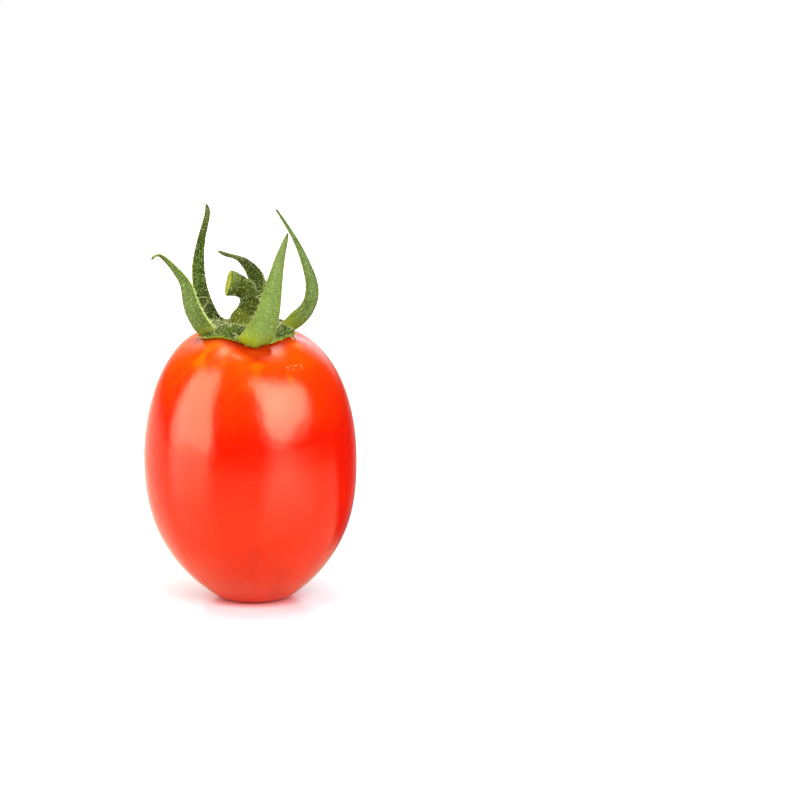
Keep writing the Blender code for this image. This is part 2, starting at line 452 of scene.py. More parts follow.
def place_beside(reach, side, azimuth):
    """The place this far out from the dimple's middle on a line with this azimuth, and beside it."""
    turn = radians(azimuth)
    x = top_middle(0.0) + reach * cos(turn) - side * sin(turn)
    return x, reach * sin(turn) + side * cos(turn)


def sepal_rows(azimuth, twist, spine):
    """Rows of x, y, z, half width, twist and freedom from the shoulder, from the root to the tip."""
    rows = []
    for reach, half_width in zip(ROOT_REACHES, ROOT_HALF_WIDTHS):
        x, y = place_beside(reach, spine[0][1] * reach / spine[0][0], azimuth)
        across = [place_beside(reach, side, azimuth) for side in (-half_width, 0.0, half_width)]
        sides = [height_over(*place) for place in across]
        z = max(sides[1], sum(sides) / len(sides)) + THICKNESS / 2 * half_width + ROOT_LIFT
        rows.append((x, y, z, half_width, 0.0, 0.0))
    for number, (reach, side, rise, half_width) in enumerate(spine):
        x, y = place_beside(reach, side, azimuth)
        seat = height_over(x, y) + (THICKNESS / 2 + MIDRIB) * half_width + SINK / 2
        free = number / (len(spine) - 1)
        z = max(FRUIT_HEIGHT + rise - SINK * (number == 0), seat)
        tilt = radians(twist) * sin(pi * (TWIST_START + (1 - TWIST_START) * free))
        rows.append((x, y, z, half_width, tilt, min(1.0, FREE_AT_BEND + number)))
    return rows


def sepal_section(half_width, free, share, seed):
    """Points of a sepal's section, sideways and towards the inner side, once round from one margin."""
    points = []
    for number in range(SEPAL_POINTS):
        angle = 2 * pi * number / SEPAL_POINTS
        across = cos(angle)
        thick = max(THICKNESS * half_width, LEAST_THICKNESS)
        thick = min(thick, MOST_THICKNESS * half_width)
        ruffle = Vector((share * RUFFLE_WAVES, across * RUFFLE_WAVES_ACROSS, seed))
        wave = RUFFLE * noise.noise(ruffle) * abs(across) ** 3
        keel = KEEL * exp(-(((share - KEEL_PLACE) / KEEL_SPREAD) ** 2))
        middle = (CUP * free + keel) * across**2 + wave * free
        body = thick / 2 * sin(angle) * (1 - MARGIN_THINNING * across**2)
        rib = MIDRIB * half_width * exp(-((across / MIDRIB_SPREAD) ** 2))
        rib *= 1.0 if angle > pi else INNER_MIDRIB
        points.append((across * half_width, middle * half_width + body - rib, across, sin(angle)))
    return points


def make_sepal(name, azimuth, twist, spine, seed):
    """One sepal, swept from under the collar to its tip, with marks for where each point is."""
    rows = even_along(sepal_rows(azimuth, twist, spine), SEPAL_ROWS)
    path = [Vector(row[:3]) for row in rows]
    turn = radians(azimuth)
    sideways = Vector((-sin(turn), cos(turn), 0.0))
    loops, along, across, inner = [], [], [], []
    for number, (row, ahead) in enumerate(zip(rows, tangents(path))):
        close = min(1.0, (SEPAL_ROWS - 1 - number) / TIP_ROWS)
        half_width = row[3] * sqrt(1 - (1 - close) ** 2) + TIP_HALF_WIDTH
        tilt, free = row[4:]
        side = (sideways - ahead * sideways.dot(ahead)).normalized()
        side = Matrix.Rotation(tilt, 3, ahead) @ side
        inward = ahead.cross(side)
        loop = []
        for out, up, share, face in sepal_section(half_width, free, number / (SEPAL_ROWS - 1), seed):
            loop.append((path[number] + side * out + inward * up) * MM)
            along.append(number / (SEPAL_ROWS - 1))
            across.append(share)
            inner.append(0.5 + 0.5 * face)
        loops.append(loop)
    tip = (path[-1] + tangents(path)[-1] * TIP_POINT) * MM
    piece = sheet_of_rings("leafy_" + name, loops, path[0] * MM, tip)
    mark(piece, "along", along + [0.0, 1.0])
    mark(piece, "across", across + [0.0, 0.0])
    mark(piece, "inner", inner + [0.5, 0.5])
    for label in ("pale", "rimmed"):
        mark(piece, label, [SEPALS[name][label]] * len(piece.data.vertices))
    return piece


# ------------------------------------------------------------------ the collar


def collar_reach(azimuth):
    """How far the collar goes out: most at its heavy place."""
    heavy = 0.5 + 0.5 * cos(radians(azimuth - HEAVY_AZIMUTH))
    return COLLAR_RADIUS + COLLAR_FORWARD * heavy**COLLAR_SHARPNESS


def make_collar():
    """The cushion that the sepals grow together in, with a thick outer rim that sits on the fruit."""
    loops, inner = [], []
    for out, up in COLLAR_PROFILE:
        loops.append([])
        for step in range(COLLAR_SEGMENTS):
            azimuth = 360 * step / COLLAR_SEGMENTS
            turn = radians(azimuth)
            reach = out * collar_reach(azimuth)
            x = top_middle(0.0) + reach * cos(turn)
            y = reach * sin(turn)
            place = Vector((x, y, 0.0)) * COLLAR_GRAIN
            rough = noise.noise(place) * COLLAR_ROUGHNESS * min(1.0, up * 4)
            loops[-1].append(Vector((x, y, height_over(x, y) + up + rough)) * MM)
            ragged = up + noise.noise(place * COLLAR_RIM_GRAIN) * COLLAR_RIM
            inner.append(min(COLLAR_DARKNESS, max(0.0, (ragged - COLLAR_RIM) / COLLAR_RIM)))
    piece = sheet_of_rings("calyx_collar", loops)
    mark(piece, "inner", inner)
    same_all_over = {"along": COLLAR_ALONG, "across": 0.5, "pale": COLLAR_PALENESS, "rimmed": 0.0}
    for name, value in same_all_over.items():
        mark(piece, name, [value] * len(inner))
    return piece


# ------------------------------------------------------------------ the stalk


def make_stalk():
    """The swollen base, the hooked stub and its cut end, in one skin."""
    middle = top_middle(0.0)
    rows = []
    for right, back, up, share in STALK_SPINE:
        rows.append((middle + right, back, FRUIT_HEIGHT + up, share * STALK_RADIUS))
    rows = even_along(rows, STALK_ROWS)
    path = [Vector(row[:3]) for row in rows]
    headings = tangents(path)
    side = Vector((1.0, 0.0, 0.0))
    loops, along, cut = [], [], []
    for number, (row, ahead) in enumerate(zip(rows, headings)):
        side = (side - ahead * side.dot(ahead)).normalized()
        other = ahead.cross(side)
        loops.append([])
        for step in range(STALK_SEGMENTS):
            angle = 2 * pi * step / STALK_SEGMENTS
            out = side * cos(angle) + other * sin(angle)
            rough = noise.noise((path[number] + out * row[3]) * STALK_GRAIN) * STALK_WARTS
            ridge = STALK_RIDGE * cos(STALK_RIDGES * angle + STALK_RIDGE_TURN)
            loops[-1].append((path[number] + out * (row[3] * (1 + ridge) + rough)) * MM)
            along.append(number / (STALK_ROWS - 1))
            cut.append(0.0)
    rim, heading = loops[-1], headings[-1]
    centre = path[-1] * MM
    for ring in range(1, CUT_RINGS):
        share = 1 - ring / CUT_RINGS
        back = CUT_HOLLOW * (1 - share**4) * MM
        bead = CUT_BEAD * MM * exp(-(((share - CUT_BEAD_PLACE) / CUT_BEAD_SPREAD) ** 2))
        loops.append([centre + (point - centre) * share - heading * (back - bead) for point in rim])
        along += [1.0] * STALK_SEGMENTS
        cut += [1.0 - share + CUT_MARK] * STALK_SEGMENTS
    piece = sheet_of_rings("stalk_stub", loops, path[0] * MM, centre - heading * CUT_HOLLOW * MM)
    mark(piece, "along", along + [0.0, 1.0])
    mark(piece, "cut", cut + [0.0, 1.0])
    return piece


# ------------------------------------------------------------------ node trees


class Value:
    """A number in a node tree. Arithmetic on it adds Math nodes."""

    def __init__(self, tree, socket):
        self.tree = tree
        self.socket = socket

    def math(self, operation, *others):
        sockets = dict(enumerate((self, *others)))
        made = self.tree.node("ShaderNodeMath", {"operation": operation}, sockets)
        return Value(self.tree, made.outputs[0])

    def flipped(self, operation, other):
        made = self.tree.node("ShaderNodeMath", {"operation": operation}, {0: other, 1: self})
        return Value(self.tree, made.outputs[0])

    def __add__(self, other):
        return self.math("ADD", other)

    def __sub__(self, other):
        return self.math("SUBTRACT", other)

    def __mul__(self, other):
        return self.math("MULTIPLY", other)

    def __truediv__(self, other):
        return self.math("DIVIDE", other)

    def __pow__(self, other):
        return self.math("POWER", other)

    __radd__ = __add__
    __rmul__ = __mul__

    def __rsub__(self, other):
        return self.flipped("SUBTRACT", other)

    def __rtruediv__(self, other):
        return self.flipped("DIVIDE", other)

    def most(self, other):
        return self.math("MAXIMUM", other)

    def size(self):
        return self.math("ABSOLUTE")

    def between(self, low, high):
        """0 at low, 1 at high, eased at both ends."""
        made = self.tree.node(
            "ShaderNodeMapRange",
            {"interpolation_type": "SMOOTHSTEP"},
            {"Value": self, "From Min": low, "From Max": high},
        )
        return Value(self.tree, made.outputs["Result"])


class Tree:
    """A node tree that is built node by node."""

    def __init__(self, tree):
        self.tree = tree

    def feed(self, socket, value):
        if isinstance(value, Value):
            value = value.socket
        if isinstance(value, bpy.types.NodeSocket):
            self.tree.links.new(value, socket)
        else:
            socket.default_value = value

    def node(self, kind, settings=None, sockets=None):
        """A node, with its settings made first and then its sockets filled with values or links."""
        made = self.tree.nodes.new(kind)
        for name, value in (settings or {}).items():
            setattr(made, name, value)
        for name, value in (sockets or {}).items():
            self.feed(made.inputs[name], value)
        return made

    def vector(self, x, y, z):
        return self.node("ShaderNodeCombineXYZ", {}, {0: x, 1: y, 2: z}).outputs[0]

    def parts(self, vector):
        """The three numbers of a vector."""
        split = self.node("ShaderNodeSeparateXYZ", {}, {0: vector})
        return [Value(self, part) for part in split.outputs]

    def camera_ray(self):
        """1 for what the camera sees itself, 0 for what lights or is mirrored in something."""
        return Value(self, self.node("ShaderNodeLightPath").outputs["Is Camera Ray"])


class Finish(Tree):
    """A material with one Principled shader."""

    def __init__(self, name):
        self.material = bpy.data.materials.new(name)
        self.material.use_nodes = True
        super().__init__(self.material.node_tree)
        self.shader = self.tree.nodes["Principled BSDF"]
        self.place = self.node("ShaderNodeTexCoord").outputs["Object"]

    def set(self, **values):
        for name, value in values.items():
            self.feed(self.shader.inputs[name.replace("_", " ")], value)

    def marked(self, name):
        made = self.node("ShaderNodeAttribute", {"attribute_name": name})
        return Value(self, made.outputs["Fac"])

    def scaled(self, scale):
        made = self.node("ShaderNodeMapping", {}, {"Vector": self.place, "Scale": scale})
        return made.outputs["Vector"]

    def noise(self, per_mm, detail=2.0, roughness=0.5, vector=None):
        """Clouds with this many to the millimetre, from about 0 to 1."""
        made = self.node(
            "ShaderNodeTexNoise",
            {},
            {
                "Vector": vector or self.place,
                "Scale": per_mm / MM,
                "Detail": detail,
                "Roughness": roughness,
            },
        )
        return Value(self, made.outputs["Fac"])

    def cells(self, per_mm):
        """Distance from scattered points, as a share of their spacing."""
        made = self.node("ShaderNodeTexVoronoi", {}, {"Vector": self.place, "Scale": per_mm / MM})
        return Value(self, made.outputs["Distance"])

    def mix(self, share, one, two):
        """Colour one where share is 0 and colour two where it is 1."""
        made = self.node("ShaderNodeMix", {"data_type": "RGBA"}, {"Factor": share})
        for name, colour in (("A", one), ("B", two)):
            socket = [s for s in made.inputs if s.name == name and s.type == "RGBA"][0]
            self.feed(socket, (*colour, 1.0) if isinstance(colour, tuple) else colour)
        return [s for s in made.outputs if s.type == "RGBA"][0]

    def bump(self, height, depth, under=None):
        """A normal from a height of 0 to 1 that stands for this many millimetres."""
        sockets = {"Height": height, "Distance": depth * MM}
        if under is not None:
            sockets["Normal"] = under
        return self.node("ShaderNodeBump", {}, sockets).outputs["Normal"]


# ------------------------------------------------------------------ materials

# Colours are linear red, green and blue. Two in one name are the least and the most of a cloudy ground.
SKIN_REDS = ((0.55, 0.005, 0.0002), (0.6, 0.009, 0.0003))
WARM_RED = (0.64, 0.03, 0.0004)
SHOULDER_ORANGE = (0.7, 0.07, 0.0005)
PATCH_ORANGE = (0.76, 0.13, 0.001)
STREAK_RED = (0.42, 0.004, 0.001)
SHADE_RED = (0.3, 0.006, 0.0005)
FLECK_GOLD = (0.75, 0.14, 0.02)
SCAR_BROWN = (0.1, 0.045, 0.02)
SCRATCH_TAN = (0.9, 0.5, 0.25)
SKIN_GLOSS = (1.0, 0.97, 0.6, 1.0)

LEAF_BACKS = ((0.06, 0.115, 0.006), (0.11, 0.175, 0.022))
LEAF_DARK_BACKS = ((0.025, 0.055, 0.002), (0.045, 0.085, 0.006))
LEAF_FACES = ((0.008, 0.024, 0.0005), (0.035, 0.075, 0.002))
LIGHT_GRAIN = (0.3, 0.4, 0.13)
DARK_GRAIN = (0.05, 0.1, 0.01)
FACE_GRAIN = (0.16, 0.23, 0.04)
LEAF_MIDDLE = (0.27, 0.38, 0.16)
BACK_DOTS = (0.4, 0.5, 0.18)
FACE_SPECKS = (0.4, 0.48, 0.14)
ROOT_YELLOW = (0.25, 0.29, 0.002)
MARGIN_GREEN = (0.16, 0.2, 0.03)
MARGIN_BRIGHT = (0.5, 0.6, 0.2)
MIDRIB_GREEN = (0.14, 0.19, 0.06)
AGED_GREEN = (0.13, 0.16, 0.05)
TIP_BROWN = (0.05, 0.03, 0.01)
GREEN_GLOSS = (1.0, 1.0, 0.4, 1.0)

BARK_GREENS = ((0.008, 0.022, 0.0005), (0.03, 0.055, 0.002))
BARK_GRAIN = (0.12, 0.17, 0.03)
BARK_LOW = (0.14, 0.17, 0.006)
BARK_SPECKS = (0.38, 0.44, 0.05)
BARK_FRESH = (0.11, 0.165, 0.03)
CUT_GREENS = ((0.3, 0.34, 0.035), (0.4, 0.42, 0.06))
CUT_RING = (0.15, 0.2, 0.02)
CUT_RIM = (0.32, 0.25, 0.03)

HAIR_WHITES = ((0.62, 0.66, 0.18), (0.86, 0.88, 0.48))
HAIR_GLOW = (0.9, 1.0, 0.4, 1.0)

TABLE_LIT = (0.76, 0.74, 0.5)
TABLE_WHITE = (0.8, 0.79, 0.79)
TABLE_DIM = (0.26, 0.25, 0.1)
TABLE_RED = (0.16, 0.03, 0.02)
# painted red light and reflection that the fruit throws on the table round its foot
TABLE_RED_BOUNCE = (0.8, 0.16, 0.14)

STREAK_CORE = 0.5  # within it the streaks run together
STREAK_RING = 6.0  # radius of the ring that the streaks' clouds are read on
STREAK_STRETCH = 0.12  # upwards
SHADE_REACH = 0.3  # how far the shade on the fruit goes beyond the collar
SHADE_UNDER_SEPALS = 0.6  # how much further it goes under each sepal
SHADE_UNDER_FRONT = 1.2  # and under the front one
SHADE_SOFTNESS = 1.3
SCRATCH_STRETCH = (0.6, 1.0, 4.5)  # draws them out sideways and presses them flat


def tomato_skin():
    """Ripe skin: red, orange round the stalk, with golden flecks and a thin high gloss."""
    skin = Finish("ripe_tomato_skin")
    x, y, z = skin.parts(skin.place)
    away = (x * x + y * y) ** 0.5
    height = z / (FRUIT_HEIGHT * MM)
    out = away.most(STREAK_CORE * MM) / (STREAK_RING * MM)
    streaks = skin.noise(0.5, vector=skin.vector(x / out, y / out, z * STREAK_STRETCH))
    clouds = skin.noise(0.12)
    fine = skin.noise(1.6, 3.0, 0.6)

    ripeness = height + (clouds - 0.5) * 0.3 + (streaks - 0.5) * 0.12
    coloured = skin.mix(clouds.between(0.35, 0.7), *SKIN_REDS)
    coloured = skin.mix(ripeness.between(0.58, 0.92), coloured, WARM_RED)
    coloured = skin.mix(ripeness.between(0.82, 1.0), coloured, SHOULDER_ORANGE)
    patches = skin.noise(0.28).between(0.5, 0.68) * ripeness.between(0.8, 0.95)
    coloured = skin.mix(patches, coloured, PATCH_ORANGE)
    coloured = skin.mix(streaks.between(0.48, 0.75) * 0.4, coloured, STREAK_RED)

    right = x - top_middle(0.0) * MM
    around = y.math("ARCTAN2", right)
    lobes = ((around - radians(FRONT_AZIMUTH)) * float(len(SEPALS))).math("COSINE") * 0.5 + 0.5
    forward = (around - radians(HEAVY_AZIMUTH)).math("COSINE") * 0.5 + 0.5
    front = (around - radians(FRONT_AZIMUTH)).math("COSINE") * 0.5 + 0.5
    edge = COLLAR_RADIUS + SHADE_REACH + lobes**8.0 * SHADE_UNDER_SEPALS
    edge = (edge + forward**COLLAR_SHARPNESS * COLLAR_FORWARD + front**24.0 * SHADE_UNDER_FRONT) * MM
    near = (right * right + y * y) ** 0.5 - edge
    facing = 0.0 - y
    shade = near.between(SHADE_SOFTNESS * MM, 0.0) * height.between(0.6, 0.8)
    shade *= facing.between(0.0, 4.0 * MM)
    coloured = skin.mix(shade * 0.8, coloured, SHADE_RED)

    flecks = skin.cells(1.5).between(0.16, 0.05) * fine.between(0.45, 0.6)
    coloured = skin.mix(flecks * 0.4, coloured, FLECK_GOLD)
    scar = away.between(1.8 * SCAR_RADIUS * MM, 0.7 * SCAR_RADIUS * MM) * (1.0 - height.between(0.0, 0.1))
    coloured = skin.mix(scar, coloured, SCAR_BROWN)
    sideways = (x / MM - SCRATCH_RIGHT) / SCRATCH_WIDTH
    upwards = (z / MM - SCRATCH_HEIGHT) / SCRATCH_TALLNESS
    scuffed = 1.0 - (sideways**2.0 + upwards**2.0).between(0.4, 1.2)
    scratches = skin.noise(1.4, 3.0, 0.7, skin.scaled(SCRATCH_STRETCH)).between(0.56, 0.61)
    scratches *= scuffed * facing.between(0.0, 2.0 * MM)
    coloured = skin.mix(scratches * 0.6, coloured, SCRATCH_TAN)

    skin.set(Base_Color=coloured, Roughness=0.1 + fine * 0.07 + scar * 0.4)
    pores = 1.0 - skin.cells(3.2).between(0.05, 0.3)
    swells = skin.bump(skin.noise(0.35), 0.06)
    skin.set(Normal=skin.bump(pores + fine * 0.6, 0.009, under=swells))
    skin.set(IOR=1.46, Specular_Tint=SKIN_GLOSS)
    skin.set(Subsurface_Weight=0.12, Subsurface_Radius=(1.0, 0.18, 0.05), Subsurface_Scale=2.0 * MM)
    return skin.material


def sepal_green():
    """Leaf: pale and downy at the back, dark inside, yellow-green at the root and brown at the tip."""
    leaf = Finish("downy_sepal_green")
    marks = ("along", "across", "inner", "pale", "rimmed")
    along, across, inner, pale, rimmed = (leaf.marked(name) for name in marks)
    mottle = leaf.noise(0.8, 3.0, 0.6)
    grain = leaf.noise(4.5, 3.0, 0.65)
    down = leaf.cells(4.5)

    back = leaf.mix(mottle.between(0.35, 0.68), *LEAF_BACKS)
    dark = leaf.mix(mottle.between(0.35, 0.68), *LEAF_DARK_BACKS)
    back = leaf.mix(pale, dark, back)
    back = leaf.mix(grain.between(0.5, 0.66) * 0.5, back, LIGHT_GRAIN)
    back = leaf.mix(grain.between(0.5, 0.36) * 0.4, back, DARK_GRAIN)
    back = leaf.mix((1.0 - across * across) * 0.15, back, LEAF_MIDDLE)
    dots = leaf.cells(4.2).between(0.34, 0.14)
    back = leaf.mix(dots * along.between(0.25, 0.45) * 0.4, back, BACK_DOTS)
    face = leaf.mix(mottle.between(0.35, 0.65), *LEAF_FACES)
    face = leaf.mix(grain.between(0.52, 0.7) * 0.45, face, FACE_GRAIN)
    green = leaf.mix(inner.between(0.42, 0.62), back, face)

    root = 1.0 - (along + (mottle - 0.5) * 0.12 - pale * 0.1).between(0.16, 0.34)
    yellow = root * (1.0 - inner.between(0.3, 0.55)) * (0.6 + pale * 0.3)
    rooted = leaf.mix(yellow, green, ROOT_YELLOW)
    margin = across.size().between(0.86, 1.0) * (1.0 - root)
    edged = leaf.mix(margin * 0.5, rooted, MARGIN_GREEN)
    bright = across.between(0.86, 0.97) * rimmed * grain.between(0.3, 0.5)
    edged = leaf.mix(bright * 0.8, edged, MARGIN_BRIGHT)
    midrib = across.size().between(0.16, 0.0) * (1.0 - inner.between(0.3, 0.6))
    ribbed = leaf.mix(midrib * 0.25, edged, MIDRIB_GREEN)
    aged = leaf.mix(along.between(0.6, 0.95) * pale * 0.6, ribbed, AGED_GREEN)
    tipped = leaf.mix((along + (mottle - 0.5) * 0.05).between(0.97, 1.0), aged, TIP_BROWN)

    specks = leaf.cells(4.4).between(0.36, 0.16) * inner.between(0.5, 0.7)
    specked = leaf.mix(specks * 0.8, tipped, FACE_SPECKS)
    leaf.set(Base_Color=specked, Roughness=0.5 + mottle * 0.25)
    veins = leaf.vector(across * 3.2 * MM, along * 3.0 * MM, inner * 1.0 * MM)
    ribs = leaf.bump(leaf.noise(1.6, vector=veins), 0.14)
    leaf.set(Normal=leaf.bump(grain + (1.0 - down) * 0.6, 0.05, under=ribs))
    leaf.set(IOR=1.36, Specular_Tint=GREEN_GLOSS)
    leaf.set(Subsurface_Weight=0.08, Subsurface_Radius=(0.5, 1.0, 0.2), Subsurface_Scale=0.5 * MM)
    return leaf.material


def stalk_green():
    """Rough dark stem with pale specks, and rings of paler tissue on its cut end."""
    stem = Finish("hairy_stalk_green")
    along, cut = stem.marked("along"), stem.marked("cut")
    mottle = stem.noise(0.9, 3.0, 0.6)
    grain = stem.noise(3.6, 3.0, 0.7)

    bark = stem.mix(mottle.between(0.35, 0.65), *BARK_GREENS)
    bark = stem.mix(grain.between(0.52, 0.7) * 0.5, bark, BARK_GRAIN)
    low = 1.0 - (along + (mottle - 0.5) * 0.2).between(0.28, 0.44)
    bark = stem.mix(low * 0.6, bark, BARK_LOW)
    specks = stem.cells(4.4).between(0.36, 0.14)
    bark = stem.mix(specks * 0.75, bark, BARK_SPECKS)
    fresh = along.between(0.8, 0.98) * 0.7
    bark = stem.mix(fresh, bark, BARK_FRESH)

    flesh = stem.mix(grain.between(0.35, 0.7), *CUT_GREENS)
    ring = cut.between(0.2, 0.34) * (1.0 - cut.between(0.42, 0.56))
    flesh = stem.mix(ring * 0.75, flesh, CUT_RING)
    rim = 1.0 - cut.between(0.06, 0.16)
    flesh = stem.mix(rim * 0.6, flesh, CUT_RIM)
    coloured = stem.mix(cut.between(0.0, 0.06), bark, flesh)

    stem.set(Base_Color=coloured, Roughness=0.55 + mottle * 0.2)
    lumps = stem.bump(stem.noise(2.2, 2.0), 0.12)
    stem.set(Normal=stem.bump(grain, 0.07, under=lumps))
    stem.set(IOR=1.36, Specular_Tint=GREEN_GLOSS)
    stem.set(Subsurface_Weight=0.06, Subsurface_Radius=(0.5, 1.0, 0.2), Subsurface_Scale=0.5 * MM)
    return stem.material


def hair_white():
    """Whitish plant hairs, yellow-green in places, with a faint painted glow for the light that comes
    through them.
    """
    hair = Finish("plant_hair_white")
    shade = hair.noise(1.2, 1.0)
    coloured = hair.mix(shade, *HAIR_WHITES)
    hair.set(Base_Color=coloured, Roughness=0.35 + shade * 0.15)
    # painted glow: the hairs give off a little light of their own
    hair.set(Emission_Color=HAIR_GLOW, Emission_Strength=0.22)
    return hair.material


# ------------------------------------------------------------------ hairs


def hair_tree():
    """Scatters bent, tapered hairs over a mesh, as thick as its mark called hairy says."""
    group = bpy.data.node_groups.new("scattered_hairs", "GeometryNodeTree")
    face = group.interface
    face.new_socket("Geometry", in_out="INPUT", socket_type="NodeSocketGeometry")
    for name in DOWN:
        face.new_socket(name, in_out="INPUT", socket_type="NodeSocketFloat")
    face.new_socket("Seed", in_out="INPUT", socket_type="NodeSocketInt")
    face.new_socket("Material", in_out="INPUT", socket_type="NodeSocketMaterial")
    face.new_socket("Geometry", in_out="OUTPUT", socket_type="NodeSocketGeometry")
    tree = Tree(group)
    given = tree.node("NodeGroupInput").outputs
    size = {name: Value(tree, given[name]) for name in DOWN}

    hairy = tree.node("GeometryNodeInputNamedAttribute", {"data_type": "FLOAT"}, {"Name": "hairy"})
    density = size["Density"] * Value(tree, hairy.outputs["Attribute"])
    spots = tree.node(
        "GeometryNodeDistributePointsOnFaces",
        {"distribute_method": "RANDOM"},
        {"Mesh": given["Geometry"], "Density": density, "Seed": given["Seed"]},
    )

    end = tree.vector(0.0, 0.0, size["Length"])
    line = tree.node("GeometryNodeCurvePrimitiveLine", {}, {"End": end})
    line = tree.node("GeometryNodeResampleCurve", {}, {"Curve": line.outputs[0], "Count": HAIR_POINTS})
    share = Value(tree, tree.node("GeometryNodeSplineParameter").outputs["Factor"])
    bend = tree.vector(share * share * size["Length"] * size["Curl"], 0.0, 0.0)
    line = tree.node("GeometryNodeSetPosition", {}, {"Geometry": line.outputs[0], "Offset": bend})
    taper = size["Radius"] * (1.0 - share * HAIR_TAPER)
    line = tree.node("GeometryNodeSetCurveRadius", {}, {"Curve": line.outputs[0], "Radius": taper})
    ring = tree.node("GeometryNodeCurvePrimitiveCircle", {}, {"Resolution": HAIR_SIDES, "Radius": 1.0})
    strand = tree.node(
        "GeometryNodeCurveToMesh",
        {},
        {"Curve": line.outputs[0], "Profile Curve": ring.outputs[0], "Scale": taper, "Fill Caps": True},
    )

    lean = tree.vector(size["Lean"], size["Lean"], pi)
    least = tree.node("ShaderNodeVectorMath", {"operation": "SCALE"}, {0: lean, "Scale": -1.0})
    turn = tree.node(
        "FunctionNodeRandomValue",
        {"data_type": "FLOAT_VECTOR"},
        {"Min": least.outputs[0], "Max": lean, "Seed": given["Seed"]},
    )
    turned = tree.node(
        "FunctionNodeRotateRotation",
        {"rotation_space": "LOCAL"},
        {"Rotation": spots.outputs["Rotation"], "Rotate By": turn.outputs[0]},
    )
    grown = tree.node(
        "FunctionNodeRandomValue",
        {"data_type": "FLOAT"},
        {2: HAIR_LENGTHS[0], 3: HAIR_LENGTHS[1], "Seed": given["Seed"]},
    )
    hairs = tree.node(
        "GeometryNodeInstanceOnPoints",
        {},
        {
            "Points": spots.outputs["Points"],
            "Instance": strand.outputs[0],
            "Rotation": turned.outputs[0],
            "Scale": grown.outputs[1],
        },
    )
    real = tree.node("GeometryNodeRealizeInstances", {}, {"Geometry": hairs.outputs[0]})
    painted = tree.node(
        "GeometryNodeSetMaterial", {}, {"Geometry": real.outputs[0], "Material": given["Material"]}
    )
    tree.node("NodeGroupOutput", {}, {"Geometry": painted.outputs[0]})
    return group


def grow_hairs(name, group, fields, material):
    """One piece of hairs, grown on each piece in fields with that field's sizes."""
    whole = bmesh.new()
    keys = {item.name: item.identifier for item in group.interface.items_tree if item.in_out == "INPUT"}
    for number, (piece, hairy, sizes) in enumerate(fields):
        holder = bpy.data.objects.new("hair_bed", piece.data.copy())
        bpy.context.scene.collection.objects.link(holder)
        mark(holder, "hairy", hairy)
        grown = holder.modifiers.new("hairs", "NODES")
        grown.node_group = group
        for key, value in {**sizes, "Seed": number, "Material": material}.items():
            grown[keys[key]] = value
        with_hairs = holder.evaluated_get(bpy.context.evaluated_depsgraph_get())
        whole.from_mesh(bpy.data.meshes.new_from_object(with_hairs))
        bpy.data.objects.remove(holder)
    mesh = bpy.data.meshes.new(name)
    whole.to_mesh(mesh)
    whole.free()
    mesh.materials.append(material)
    mesh.shade_smooth()
    made = bpy.data.objects.new(name, mesh)
    bpy.context.scene.collection.objects.link(made)
    return made


def read_mark(piece, name):
    return [item.value for item in piece.data.attributes[name].data]


def marked_places(piece):
    """How far along, across and towards the inner side each point of a sepal is."""
    return zip(*(read_mark(piece, name) for name in ("along", "across", "inner")))


def sepal_down(along, across, inner):
    """How dense the short down is: most at the margins, some on the inner side, little on the back."""
    face = 0.1 + 0.6 * (inner > 0.55) * (along > 0.25)
    margin = 2.5 * (abs(across) > 0.93) * (0.2 < along < 0.75)
    return face * (along < 0.97) + margin


def sepal_long_hairs(along, across, inner, bright):
    """How dense the long hairs are: only in the middle part, and most along a bright forward margin."""
    dense = 0.2 * (inner > 0.6) + 0.8 * (abs(across) > 0.9) + bright * (across > 0.9)
    return (0.32 < along < 0.6) * dense


def make_hairs(sepals, stalk, collar, material):
    """The short down and the long hairs, each in one piece over all the green parts."""
    down, long_hairs = [], []
    for name, piece in sepals.items():
        hairy = [sepal_down(*place) for place in marked_places(piece)]
        down.append((piece, hairy, DOWN))
        bright = SEPALS[name]["rimmed"] * BRIGHT_MARGIN_HAIRS
        hairy = [sepal_long_hairs(*place, bright) for place in marked_places(piece)]
        long_hairs.append((piece, hairy, LONG_HAIR))
    along, cut = read_mark(stalk, "along"), read_mark(stalk, "cut")
    down.append((stalk, [float(c == 0) for c in cut], DOWN))
    hairy = [0.5 * (0.3 < a < 0.6) * (c == 0) for a, c in zip(along, cut)]
    long_hairs.append((stalk, hairy, LONG_HAIR))
    upper = [i > 0.3 for i in read_mark(collar, "inner")]
    down.append((collar, [0.7 * u for u in upper], DOWN))
    long_hairs.append((collar, [0.3 * u for u in upper], LONG_HAIR))
    group = hair_tree()
    return [
        grow_hairs("short_down", group, down, material),
        grow_hairs("long_hairs", group, long_hairs, material),
    ]


# ------------------------------------------------------------------ the studio


